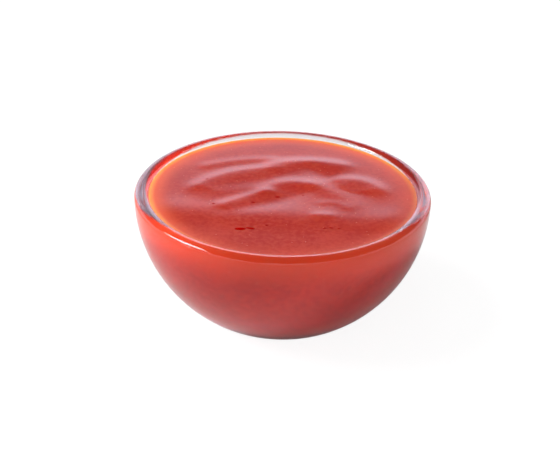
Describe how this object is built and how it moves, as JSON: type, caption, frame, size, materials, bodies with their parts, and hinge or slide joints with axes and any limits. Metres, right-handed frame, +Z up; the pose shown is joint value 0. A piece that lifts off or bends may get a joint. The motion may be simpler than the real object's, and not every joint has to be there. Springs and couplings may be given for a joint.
{
  "type": "glass bowl of chilli sauce",
  "caption": "Small thick-walled clear glass bowl with a half-round rim and a flat foot, filled almost to the brim with smooth red chilli sauce whose surface keeps soft stir marks.",
  "frame": {"origin": "centre of the bowl's foot, on the surface that it stands on", "axes": "+Z up through the bowl's axis; -Y is the side shown to the front and +X is to its right"},
  "size_m": [0.08, 0.08, 0.0337],
  "materials": {
    "clear_glass": "clear pressed glass, smooth",
    "chilli_sauce": "wet, glossy, opaque red sauce"
  },
  "bodies": {
    "root": {"bowl": "clear_glass", "sauce": "chilli_sauce"}
  },
  "joints": []
}
